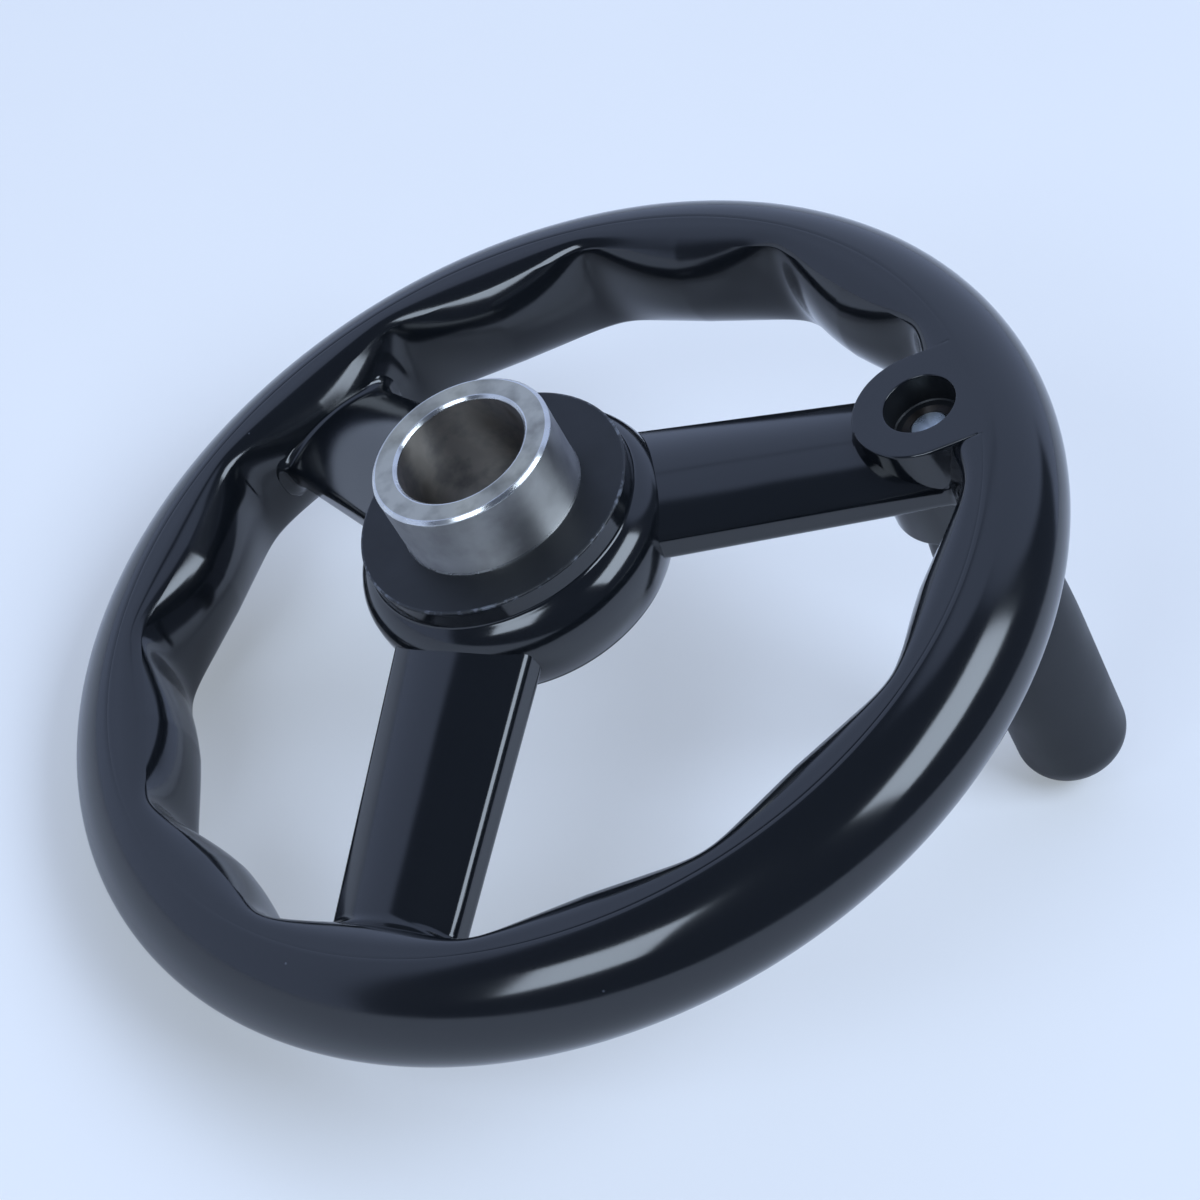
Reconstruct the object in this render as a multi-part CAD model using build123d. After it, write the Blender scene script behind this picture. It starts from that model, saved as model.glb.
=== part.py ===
"""Three-spoke machine handwheel, 200 mm across, with a revolving handle.

The wheel is one phenolic moulding: a round rim with twelve finger grips on its inner
side, three spokes that climb from the rim to a raised hub, and a boss for the handle.
A steel bush is moulded into the hub. The handle's grip spins on a shouldered spindle
that is screwed into an insert in the boss.

Frame: millimetres. The origin is the centre of the bush's seating end, +Z is the bore
axis and points out of that end towards the machine, and +X points to the handle.
The wheel is drawn about the middle plane of its rim and lowered at the end.
"""

from build123d import *
from math import atan2, cos, degrees, radians, sin, sqrt, tan
import os

# Rim, with insets from the wheel's outer edge
WHEEL_DIAMETER = 200.0
RIM_DEPTH = 25.2
RIM_CROWN_INSET = 13.5
CREASE_INSET = 11.7
LAND_SLOPE = 2.5
LAND_INNER_INSET = 15.1

# Finger grips on the inner side of the rim, with reaches from the land's inner edge
GRIP_COUNT = 12
GRIP_PAD_REACH = 11.1
GRIP_NOTCH_REACH = 2.5
GRIP_ROUNDNESS = 2.4
NOTCH_SOFTNESS = 0.12
WINDOW_OVERRUN = 1.5

# Hub, with heights above the rim's middle plane
SEAT_HEIGHT = 43.3
FLANGE_HEIGHT = 29.0
FLANGE_DIAMETER = 52.8
SHOULDER_FILLET = 1.0
HUB_OVERHANG = 3.9
HUB_DOME_RADIUS = 7.5
HUB_WIDEST_HEIGHT = 18.2
HUB_BELLY_INSET = 3.0
HUB_LIP_STEP = 0.7
HUB_LIP_HEIGHT = 1.2
HUB_FRONT_HEIGHT = 6.4

# Hub bush
BUSH_DIAMETER = 35.0
BORE_DIAMETER = 25.0
BUSH_OUTER_CHAMFER = 0.6
BUSH_BORE_CHAMFER = 0.5
ANCHOR_GROOVE_WIDTH = 8.0
ANCHOR_GROOVE_DEPTH = 1.5

# Spokes, with heights above the rim's middle plane
SPOKE_COUNT = 3
SPOKE_WIDTH_AT_HUB = 29.2
SPOKE_WIDTH_AT_RIM = 25.8
SPOKE_CROWN = 4.0
SPOKE_EDGE_RADIUS = 2.5
SPOKE_EDGE_LIMIT = 0.45
SPOKE_EDGE_HEIGHT_AT_HUB = 17.5
SPOKE_EDGE_HEIGHT_AT_RIM = 0.35
SPOKE_EDGE_THICKNESS_AT_HUB = 6.9
SPOKE_EDGE_THICKNESS_AT_RIM = 6.2
SPOKE_FOOT_FILLET = 3.5
SPOKE_FOOT_SETBACK = 3.0

# Handle boss and its insert
HANDLE_INSET = 22.0
BOSS_DIAMETER = 26.0
COUNTERBORE_DIAMETER = 13.8
COUNTERBORE_DEPTH = 6.6
INSERT_DIAMETER = 11.0
THREAD_DIAMETER = 8.0

# Handle spindle
COLLAR_DIAMETER = 14.0
COLLAR_HEIGHT = 2.0
COLLAR_ACROSS_FLATS = 12.0
SHANK_DIAMETER = 10.0
SPINDLE_STANDOUT = 0.3
SPINDLE_CHAMFER = 0.6

# Handle grip, with depths from its upper end
GRIP_LENGTH = 81.5
GRIP_DIAMETER = 23.2
GRIP_WIDEST_DEPTH = 42.0
GRIP_NECK_DIAMETER = 18.0
GRIP_NECK_TAPER = 0.08
GRIP_END_DIAMETER = 23.0
GRIP_END_ROUND = 9.0
GRIP_BORE_DEPTH = 66.0
CHAMBER_DIAMETER = 14.0
CHAMBER_HEIGHT = 6.0
HEAD_CLEARANCE = 0.6
RUNNING_CLEARANCE = 0.05
END_FLOAT = 0.3

# Values that follow from the sizes above
WHEEL_RADIUS = WHEEL_DIAMETER / 2
RIM_HALF = RIM_DEPTH / 2
CROWN_RADIUS = WHEEL_RADIUS - RIM_CROWN_INSET
CREASE_RADIUS = WHEEL_RADIUS - CREASE_INSET
LAND_INNER_RADIUS = WHEEL_RADIUS - LAND_INNER_INSET
PAD_RADIUS = LAND_INNER_RADIUS - GRIP_PAD_REACH
SPOKE_FOOT_RADIUS = PAD_RADIUS + SPOKE_FOOT_SETBACK
HANDLE_RADIUS = WHEEL_RADIUS - HANDLE_INSET
CREASE_SHARE = (CREASE_RADIUS - CROWN_RADIUS) / RIM_CROWN_INSET
CREASE_HEIGHT = RIM_HALF * sqrt(1 - CREASE_SHARE**2)
FLANGE_RADIUS = FLANGE_DIAMETER / 2
HUB_RADIUS = FLANGE_RADIUS + HUB_OVERHANG
BUSH_RADIUS = BUSH_DIAMETER / 2
GROOVE_RADIUS = BUSH_RADIUS - ANCHOR_GROOVE_DEPTH
BOSS_FRONT = -CREASE_HEIGHT
COUNTERBORE_FLOOR = CREASE_HEIGHT - COUNTERBORE_DEPTH
COLLAR_FRONT = BOSS_FRONT - COLLAR_HEIGHT
GRIP_TOP = COLLAR_FRONT - END_FLOAT
GRIP_FREE_END = GRIP_TOP - GRIP_LENGTH
CHAMBER_FLOOR = GRIP_TOP - GRIP_BORE_DEPTH
CHAMBER_TOP = CHAMBER_FLOOR + CHAMBER_HEIGHT
HEAD_TOP = CHAMBER_TOP - END_FLOAT
HEAD_BOTTOM = CHAMBER_FLOOR + END_FLOAT
LOWER_TO_SEAT = Location((0, 0, -SEAT_HEIGHT))
AT_HANDLE = Location((HANDLE_RADIUS, 0, 0))


def grip_reach(share):
    """How far a grip's inner wall stands in from the land, at a share of one pitch.

    It is the full reach on a grip's middle, at share 0 and 1, and falls slowly at first
    and then steeply to the notch's reach, at share 0.5, where a small round softens it.
    """
    to_notch = abs(2 * share - 1)
    softened = sqrt(to_notch**2 + NOTCH_SOFTNESS**2) - NOTCH_SOFTNESS
    notch = max(1 - softened, 0) ** GRIP_ROUNDNESS
    return GRIP_PAD_REACH * (1 - notch) + GRIP_NOTCH_REACH * notch


def window_outline(height, grow=0):
    """Closed wavy outline of the opening inside the rim at one height.

    The wall's section is a parabola: the whole reach at the middle plane, none at the
    land.
    """
    fullness = max(1 - (height / RIM_HALF) ** 2, 0)
    points = []
    for grip in range(GRIP_COUNT):
        for share in (0.0, 0.17, 0.33, 0.43, 0.5, 0.57, 0.67, 0.83):
            radius = LAND_INNER_RADIUS - grip_reach(share) * fullness + grow
            angle = radians(360 / GRIP_COUNT * (grip + share))
            points.append((radius * cos(angle), radius * sin(angle)))
    with BuildSketch(Plane.XY.offset(height)) as outline:
        with BuildLine():
            Spline(*points, periodic=True)
        make_face()
    return outline.sketch.face()


def make_rim():
    """Rim: outer half-ellipse, crease, gently sloping land and wavy inner grips."""
    blank_radius = PAD_RADIUS - RIM_HALF / 2
    blank_height = CREASE_HEIGHT - (CREASE_RADIUS - blank_radius) * tan(radians(LAND_SLOPE))
    with BuildPart() as ring:
        with BuildSketch(Plane.XZ):
            with Locations((CROWN_RADIUS, 0)):
                Ellipse(RIM_CROWN_INSET, RIM_HALF)
            with Locations((CREASE_RADIUS, 0)):
                Rectangle(
                    4 * RIM_CROWN_INSET,
                    2 * RIM_DEPTH,
                    align=(Align.MAX, Align.CENTER),
                    mode=Mode.SUBTRACT,
                )
            with BuildLine():
                Polyline(
                    (blank_radius, -blank_height),
                    (CREASE_RADIUS, -CREASE_HEIGHT),
                    (CREASE_RADIUS, CREASE_HEIGHT),
                    (blank_radius, blank_height),
                    close=True,
                )
            make_face()
        revolve(axis=Axis.Z)
    beyond = RIM_HALF + WINDOW_OVERRUN
    outlines = [window_outline(-beyond, WINDOW_OVERRUN)]
    for share in (-1, -0.8, -0.55, -0.28, 0, 0.28, 0.55, 0.8, 1):
        outlines.append(window_outline(share * RIM_HALF))
    outlines.append(window_outline(beyond, WINDOW_OVERRUN))
    return ring.part - loft(outlines)


def along_spoke(radius, at_hub, at_rim):
    """Size at a radius that changes evenly from the hub's side to the land's edge."""
    run = LAND_INNER_RADIUS - HUB_RADIUS
    return at_hub + (at_rim - at_hub) * (radius - HUB_RADIUS) / run


def spoke_section(radius, grow=0):
    """Cross-section of a spoke: crowned top, heavily rounded edges, flat underside."""
    half = along_spoke(radius, SPOKE_WIDTH_AT_HUB, SPOKE_WIDTH_AT_RIM) / 2 + grow
    top = along_spoke(radius, SPOKE_EDGE_HEIGHT_AT_HUB, SPOKE_EDGE_HEIGHT_AT_RIM) + grow
    thickness = along_spoke(radius, SPOKE_EDGE_THICKNESS_AT_HUB, SPOKE_EDGE_THICKNESS_AT_RIM)
    bottom = top - thickness - 2 * grow
    edge_radius = min(SPOKE_EDGE_RADIUS, SPOKE_EDGE_LIMIT * thickness)
    plane = Plane(origin=(radius, 0, 0), x_dir=(0, 1, 0), z_dir=(1, 0, 0))
    with BuildSketch(plane) as section:
        with BuildLine():
            ThreePointArc((-half, top), (0, top + SPOKE_CROWN), (half, top))
            Polyline((half, top), (half, bottom), (-half, bottom), (-half, top))
        make_face()
        fillet(section.vertices(), radius=edge_radius)
    return section.sketch.face()


def make_spoke_foot():
    """Flare that fillets one spoke into the finger grip it meets.

    Its sections follow a quarter circle until it is fullest, and end inside the rim.
    """
    sections = []
    for turn in (12, 45, 70, 90):
        reach = SPOKE_FOOT_FILLET * sin(radians(turn))
        grow = SPOKE_FOOT_FILLET * (1 - cos(radians(turn)))
        sections.append(spoke_section(SPOKE_FOOT_RADIUS - SPOKE_FOOT_FILLET + reach, grow))
    sections.append(spoke_section(CROWN_RADIUS, SPOKE_FOOT_FILLET))
    return loft(sections, ruled=True)


def make_spokes():
    """Spokes from inside the hub, beside the bush, to the middle of the rim."""
    start = (BUSH_RADIUS + FLANGE_RADIUS) / 2
    spoke = loft([spoke_section(start), spoke_section(CROWN_RADIUS)])
    spoke += make_spoke_foot()
    turns = [Rot(0, 0, 360 / SPOKE_COUNT * number) for number in range(SPOKE_COUNT)]
    return [turn * spoke for turn in turns]


def make_hub():
    """Hub: stepped flange, dome, belly that narrows to the front, and a thin lip.

    A small fillet joins the flange's side to the dome, whose section is a circle arc
    that is upright where the hub is widest.
    """
    dome_centre = (HUB_RADIUS - HUB_DOME_RADIUS, HUB_WIDEST_HEIGHT)
    aside = FLANGE_RADIUS + SHOULDER_FILLET - dome_centre[0]
    above = sqrt((HUB_DOME_RADIUS + SHOULDER_FILLET) ** 2 - aside**2)
    fillet_centre = (dome_centre[0] + aside, dome_centre[1] + above)
    dome_turn = degrees(atan2(above, aside))
    belly_foot = (HUB_RADIUS - HUB_BELLY_INSET, HUB_FRONT_HEIGHT + HUB_LIP_HEIGHT)
    lip_radius = belly_foot[0] - HUB_LIP_STEP
    with BuildPart() as hub:
        with BuildSketch(Plane.XZ):
            with BuildLine():
                Polyline(
                    (0, FLANGE_HEIGHT),
                    (FLANGE_RADIUS, FLANGE_HEIGHT),
                    (FLANGE_RADIUS, fillet_centre[1]),
                )
                CenterArc(fillet_centre, SHOULDER_FILLET, start_angle=180, arc_size=dome_turn)
                CenterArc(dome_centre, HUB_DOME_RADIUS, start_angle=0, arc_size=dome_turn)
                TangentArc((HUB_RADIUS, HUB_WIDEST_HEIGHT), belly_foot, tangent=(0, -1))
                Polyline(
                    belly_foot,
                    (lip_radius, belly_foot[1]),
                    (lip_radius, HUB_FRONT_HEIGHT),
                    (0, HUB_FRONT_HEIGHT),
                    (0, FLANGE_HEIGHT),
                )
            make_face()
        revolve(axis=Axis.Z)
    return hub.part


def make_boss():
    """Round boss for the handle, widened outwards into the rim up to the crease."""
    height = CREASE_HEIGHT - BOSS_FRONT
    with BuildPart() as boss:
        with BuildSketch(Plane.XY.offset(BOSS_FRONT)):
            with Locations((HANDLE_RADIUS, 0)):
                Circle(BOSS_DIAMETER / 2)
                Rectangle(WHEEL_RADIUS, BOSS_DIAMETER, align=(Align.MIN, Align.CENTER))
            Circle(CREASE_RADIUS, mode=Mode.INTERSECT)
        extrude(amount=height)
    return boss.part


def make_wheel_body():
    """The whole moulding, with the cavities that the bush and the insert fill."""
    body = make_rim() + make_hub() + make_spokes() + make_boss()
    bush_space = make_bush_blank(HUB_FRONT_HEIGHT, FLANGE_HEIGHT)
    counterbore = Pos(HANDLE_RADIUS, 0, COUNTERBORE_FLOOR) * Cylinder(
        COUNTERBORE_DIAMETER / 2,
        COUNTERBORE_DEPTH,
        align=(Align.CENTER, Align.CENTER, Align.MIN),
    )
    insert_space = Pos(HANDLE_RADIUS, 0, BOSS_FRONT) * Cylinder(
        INSERT_DIAMETER / 2,
        COUNTERBORE_FLOOR - BOSS_FRONT,
        align=(Align.CENTER, Align.CENTER, Align.MIN),
    )
    return body - bush_space - counterbore - insert_space


def make_bush_blank(bottom, top):
    """Outside of the bush between two heights, with its anchoring groove in the hub."""
    groove_middle = (HUB_FRONT_HEIGHT + FLANGE_HEIGHT) / 2
    with BuildPart() as blank:
        with BuildSketch(Plane.XZ):
            with Locations((0, bottom)):
                Rectangle(BUSH_RADIUS, top - bottom, align=(Align.MIN, Align.MIN))
            with Locations((GROOVE_RADIUS, groove_middle)):
                Rectangle(
                    ANCHOR_GROOVE_DEPTH,
                    ANCHOR_GROOVE_WIDTH,
                    align=(Align.MIN, Align.CENTER),
                    mode=Mode.SUBTRACT,
                )
        revolve(axis=Axis.Z)
    return blank.part


def make_hub_bush():
    """Turned steel bush: from the hub's front to the seating end, with a plain bore."""
    length = SEAT_HEIGHT - HUB_FRONT_HEIGHT
    bore = Pos(0, 0, HUB_FRONT_HEIGHT) * Cylinder(
        BORE_DIAMETER / 2,
        length,
        align=(Align.CENTER, Align.CENTER, Align.MIN),
    )
    bush = make_bush_blank(HUB_FRONT_HEIGHT, SEAT_HEIGHT) - bore
    end = bush.faces().sort_by(Axis.Z)[-1]
    rings = end.edges().sort_by(SortBy.RADIUS)
    bush = chamfer(rings[-1], BUSH_OUTER_CHAMFER)
    inner = bush.faces().sort_by(Axis.Z)[-1].edges().sort_by(SortBy.RADIUS)[0]
    return chamfer(inner, BUSH_BORE_CHAMFER)


def turned(points):
    """Solid of revolution from a closed profile of (radius, height) points."""
    with BuildPart() as piece:
        with BuildSketch(Plane.XZ):
            with BuildLine():
                Polyline(*points, close=True)
            make_face()
        revolve(axis=Axis.Z)
    return piece.part


def make_boss_insert():
    """Threaded insert that carries the spindle in the boss, drawn with a plain hole."""
    thread = THREAD_DIAMETER / 2
    outside = INSERT_DIAMETER / 2
    ring = turned(
        [
            (thread, BOSS_FRONT),
            (outside, BOSS_FRONT),
            (outside, COUNTERBORE_FLOOR),
            (thread, COUNTERBORE_FLOOR),
        ]
    )
    return AT_HANDLE * ring


def make_handle_spindle():
    """Spindle: thread, collar with spanner flats, shank, and a head inside the grip."""
    thread = THREAD_DIAMETER / 2
    collar = COLLAR_DIAMETER / 2
    shank = SHANK_DIAMETER / 2
    head = CHAMBER_DIAMETER / 2 - HEAD_CLEARANCE
    end = COUNTERBORE_FLOOR + SPINDLE_STANDOUT
    spindle = turned(
        [
            (0, end),
            (thread - SPINDLE_CHAMFER, end),
            (thread, end - SPINDLE_CHAMFER),
            (thread, BOSS_FRONT),
            (collar, BOSS_FRONT),
            (collar, COLLAR_FRONT),
            (shank, COLLAR_FRONT),
            (shank, HEAD_TOP),
            (head, HEAD_TOP),
            (head, HEAD_BOTTOM),
            (0, HEAD_BOTTOM),
        ]
    )
    flat_middle = (COLLAR_ACROSS_FLATS + COLLAR_DIAMETER) / 2
    for side in (-1, 1):
        spindle -= Pos(0, side * flat_middle, BOSS_FRONT) * Box(
            2 * COLLAR_DIAMETER,
            COLLAR_DIAMETER,
            COLLAR_HEIGHT,
            align=(Align.CENTER, Align.CENTER, Align.MAX),
        )
    return AT_HANDLE * spindle


def make_handle_grip():
    """Barrel-shaped grip with a domed end, bored blind to a chamber for the head."""
    neck = (GRIP_NECK_DIAMETER / 2, GRIP_TOP)
    widest = (GRIP_DIAMETER / 2, GRIP_TOP - GRIP_WIDEST_DEPTH)
    dome_start = (GRIP_END_DIAMETER / 2, GRIP_FREE_END + GRIP_END_ROUND)
    with BuildPart() as grip:
        with BuildSketch(Plane.XZ):
            with BuildLine():
                Spline(
                    neck,
                    widest,
                    dome_start,
                    tangents=[(GRIP_NECK_TAPER, -1), (0, -1), (0, -1)],
                )
                EllipticalCenterArc(
                    (0, dome_start[1]),
                    GRIP_END_DIAMETER / 2,
                    GRIP_END_ROUND,
                    start_angle=270,
                    arc_size=90,
                )
                Polyline((0, GRIP_FREE_END), (0, GRIP_TOP), neck)
            make_face()
        revolve(axis=Axis.Z)
        with Locations((0, 0, CHAMBER_FLOOR)):
            Cylinder(
                SHANK_DIAMETER / 2 + RUNNING_CLEARANCE,
                GRIP_BORE_DEPTH,
                align=(Align.CENTER, Align.CENTER, Align.MIN),
                mode=Mode.SUBTRACT,
            )
            Cylinder(
                CHAMBER_DIAMETER / 2,
                CHAMBER_HEIGHT,
                align=(Align.CENTER, Align.CENTER, Align.MIN),
                mode=Mode.SUBTRACT,
            )
    return AT_HANDLE * grip.part


def main():
    """Write one STEP file for each physical piece."""
    pieces = {
        "wheel_body": make_wheel_body(),
        "hub_bush": make_hub_bush(),
        "boss_insert": make_boss_insert(),
        "handle_spindle": make_handle_spindle(),
        "handle_grip": make_handle_grip(),
    }
    os.makedirs("parts", exist_ok=True)
    for node, piece in pieces.items():
        export_step(LOWER_TO_SEAT * piece, f"parts/{node}.step")


main()
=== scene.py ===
"""Machine handwheel: fine surfaces, finishes, stage, light and camera on its CAD frame.

Every piece that it rebuilds is a surface worked out on a grid of two parameters. Lengths
are in metres and in the frame of the CAD model: the origin is the centre of the bush's
seating end, +Z leaves that end along the bore, and +X points to the handle. Heights that
are named as from the rim are above the rim's middle plane, as the wheel is drawn.
"""

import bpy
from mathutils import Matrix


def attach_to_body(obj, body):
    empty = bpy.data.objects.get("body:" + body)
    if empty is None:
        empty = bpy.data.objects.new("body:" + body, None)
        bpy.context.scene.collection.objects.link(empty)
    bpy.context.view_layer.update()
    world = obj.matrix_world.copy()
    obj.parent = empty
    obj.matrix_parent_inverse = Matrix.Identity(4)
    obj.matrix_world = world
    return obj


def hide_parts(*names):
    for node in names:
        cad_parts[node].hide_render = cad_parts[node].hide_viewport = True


bl_info = {
    "name": "Machine handwheel",
    "version": (1, 0, 0),
    "blender": (4, 5, 0),
    "location": "View3D > Sidebar > Handwheel",
    "description": "Three-spoke phenolic handwheel with a revolving handle",
    "category": "Add Mesh",
}

from math import atan2, cos, degrees, pi, radians, sin, sqrt, tan

import bmesh
import bpy
import numpy as np
from bpy.props import FloatProperty, FloatVectorProperty, IntProperty, PointerProperty
from mathutils import Matrix, Vector

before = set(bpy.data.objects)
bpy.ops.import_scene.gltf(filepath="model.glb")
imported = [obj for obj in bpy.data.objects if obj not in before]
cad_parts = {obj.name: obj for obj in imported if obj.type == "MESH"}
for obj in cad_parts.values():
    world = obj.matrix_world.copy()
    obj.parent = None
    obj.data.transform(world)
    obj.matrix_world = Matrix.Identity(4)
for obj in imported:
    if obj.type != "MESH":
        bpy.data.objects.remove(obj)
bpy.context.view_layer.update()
MM = 0.001
SHARP_ANGLE = radians(40)
WELD_DISTANCE = 1e-8
ROUND_COLUMNS = 360
NEARLY_STRAIGHT = 0.49 * pi


# Sizes and colours that a user would change
def length(name, description, millimetres):
    """Property for a length, with its default given in millimetres."""
    return FloatProperty(
        name=name,
        description=description,
        default=millimetres * MM,
        unit="LENGTH",
        precision=5,
    )


def number(name, description, value, **more):
    """Property for a plain number."""
    return FloatProperty(name=name, description=description, default=value, **more)


def linear(code):
    """Linear RGB of an sRGB hex colour such as #1a2b3c."""
    values = np.array([int(code[i : i + 2], 16) for i in (1, 3, 5)]) / 255
    low = values / 12.92
    high = ((values + 0.055) / 1.055) ** 2.4
    return tuple(float(v) for v in np.where(values <= 0.04045, low, high))


def colour(name, description, code):
    """Property for a colour, with its default given as an sRGB hex code."""
    return FloatVectorProperty(
        name=name,
        description=description,
        default=linear(code),
        subtype="COLOR",
        size=3,
        min=0,
        max=1,
    )


class RimSizes(bpy.types.PropertyGroup):
    """Sizes of the rim and of the finger grips on its inner side."""

    radius: length("Radius", "Outer radius of the wheel", 100)
    depth: length("Depth", "Thickness of the rim along the bore axis", 25.2)
    crown_inset: length("Crown inset", "From the edge to where the rim is thickest", 13.5)
    crease_inset: length("Crease inset", "From the edge to the crease", 11.7)
    land_inset: length("Land inset", "From the edge to the land's inner edge", 15.1)
    land_slope: number(
        "Land slope", "Slope of the flat land, down to the hub", radians(2.5), subtype="ANGLE"
    )
    edge_round: length("Edge round", "Reach of the soft edge inside the land", 2.2)
    grips: IntProperty(name="Grips", description="Finger grips around", default=12, min=3)
    pad_reach: length("Pad reach", "How far a grip stands in from the land", 8.4)
    notch_reach: length("Notch reach", "The same between two grips", 2.6)
    roundness: number("Roundness", "How broad each grip is", 2.4, min=1)
    softness: number("Notch softness", "Round of the notch, as a share", 0.17)
    wall_power: number(
        "Wall power", "Section of the inner wall: 1 parabola, 0.5 ellipse", 0.58, min=0.5, max=1
    )
    line_width: length("Line width", "Width of the fine mould line at the crease", 0.35)
    line_depth: length("Line depth", "Depth of the fine mould line at the crease", 0.07)


class HubSizes(bpy.types.PropertyGroup):
    """Sizes of the hub, with heights above the rim's middle plane."""

    seat_height: length("Seat height", "Seating end of the bush", 43.3)
    flange_height: length("Flange height", "Upper face of the flange", 29)
    flange_radius: length("Flange radius", "Radius of the flange", 26.4)
    shoulder_fillet: length("Shoulder fillet", "Fillet under the flange", 1)
    radius: length("Radius", "Largest radius of the hub", 30.3)
    dome_radius: length("Dome radius", "Radius of the dome's section", 7.5)
    widest_height: length("Widest height", "Height of the largest radius", 18.2)
    lip_radius: length("Lip radius", "Radius of the front lip", 26.6)
    lip_step: length("Lip step", "How far the lip stands back", 0.7)
    lip_height: length("Lip height", "Height of the front lip", 1.2)
    front_height: length("Front height", "Front face of the hub", 6.4)
    edge_round: length("Edge round", "Round on the hub's sharp edges", 0.35)


class BushSizes(bpy.types.PropertyGroup):
    """Sizes of the steel bush."""

    radius: length("Radius", "Outer radius", 17.5)
    bore_radius: length("Bore radius", "Radius of the bore", 12.5)
    outer_chamfer: length("Outer chamfer", "Chamfer outside", 0.6)
    bore_chamfer: length("Bore chamfer", "Chamfer at the bore", 0.5)
    base_flare: length("Base flare", "Bright bead of metal at the flange", 0.35)


class SpokeSizes(bpy.types.PropertyGroup):
    """Sizes of the spokes, with heights above the rim's middle plane."""

    count: IntProperty(name="Count", description="Spokes around the hub", default=3, min=2)
    width_at_hub: length("Width at hub", "Width at the hub's side", 29.2)
    width_at_rim: length("Width at rim", "Width at the land's edge", 25.8)
    crown: length("Crown", "Rise of the upper face in its middle", 4)
    edge_radius: length("Edge radius", "Round of the long edges", 2.5)
    edge_at_hub: length("Edge at hub", "Upper face's edges at the hub's side", 17.5)
    edge_at_rim: length("Edge at rim", "Upper face's edges at the land's edge", 0.35)
    thickness_at_hub: length("Thickness at hub", "Thickness of the edges at the hub", 6.9)
    thickness_at_rim: length("Thickness at rim", "Thickness of the edges at the rim", 6.2)
    foot_fillet: length("Foot fillet", "Fillet into the rim", 2.6)


class BossSizes(bpy.types.PropertyGroup):
    """Sizes of the boss that carries the handle."""

    inset: length("Inset", "From the wheel's edge to the handle's axis", 22)
    radius: length("Radius", "Radius of the boss", 13)
    counterbore_radius: length("Counterbore radius", "Radius of the counterbore", 6.9)
    counterbore_depth: length("Counterbore depth", "Depth of the counterbore", 6.6)
    insert_radius: length("Insert radius", "Outer radius of the insert", 5.5)
    edge_round: length("Edge round", "Round on the boss's edges", 0.4)
    edge_fade: length("Edge fade", "Along which the round fades out at the rim", 5)


class GripSizes(bpy.types.PropertyGroup):
    """Sizes of the revolving grip."""

    collar_height: length("Collar height", "Collar between boss and grip", 2)
    end_float: length("End float", "Gap between collar and grip", 0.3)
    length_: length("Length", "Length of the grip", 81.5)
    radius: length("Radius", "Largest radius", 11.6)
    widest_depth: length("Widest depth", "Depth of the largest radius", 42)
    neck_radius: length("Neck radius", "Radius at the upper end", 9)
    end_radius: length("End radius", "Radius where the dome starts", 11.5)
    end_round: length("End round", "Height of the domed end", 9)
    bore_radius: length("Bore radius", "Radius of the bore for the spindle", 5.05)
    bore_depth: length("Bore depth", "Depth of the bore", 66)
    chamber_radius: length("Chamber radius", "Radius of the head's chamber", 7)
    chamber_height: length("Chamber height", "Height of the head's chamber", 6)


class FinishColours(bpy.types.PropertyGroup):
    """Base colours of the finishes; the insert's is darkened with painted shade."""

    phenolic: colour("Phenolic", "Black phenolic moulding", "#101317")
    worn_edge: colour("Worn edge", "Scuffed phenolic edge", "#7d828c")
    steel: colour("Steel", "Turned steel", "#abaaa8")
    steel_edge: colour("Steel edge", "Bright, rubbed steel", "#dededb")
    steel_face: colour("Steel face", "Worn, faced steel", "#bfbcaf")
    steel_stain: colour("Steel stain", "Old stain on the steel", "#5d5b5a")
    bore: colour("Bore", "Dull bored steel", "#8a847d")
    zinc: colour("Zinc", "Zinc-plated steel", "#c9d3d8")
    # Insert: brownish steel, its colour darkened further as painted shade of the counterbore around it.
    insert: colour("Insert", "Dull turned insert", "#4b4642")
    grip: colour("Grip", "Satin black grip", "#14171b")
    floor: colour("Floor", "Pale blue paper", "#edeff7")
    backdrop: colour("Backdrop", "What the camera sees beyond the paper", "#d4e3fa")
    floor_glow: colour("Floor glow", "The paper's own brightness", "#f1faff")


class StageSizes(bpy.types.PropertyGroup):
    """Light, floor and camera."""

    lens: number("Lens", "Focal length in mm", 93.0)
    floor_size: length("Floor size", "Side of the square floor", 6000)
    left_light: number("Left light", "Radiance of the left panel", 6.5)
    right_light: number("Right light", "Radiance of the right panel", 6.9)
    light_distance: length("Light distance", "From the hub to the panels", 2600)


GROUPS = {
    "wheel_rim": RimSizes,
    "wheel_hub": HubSizes,
    "wheel_bush": BushSizes,
    "wheel_spokes": SpokeSizes,
    "wheel_boss": BossSizes,
    "wheel_grip": GripSizes,
    "wheel_finish": FinishColours,
    "wheel_stage": StageSizes,
}


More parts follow.
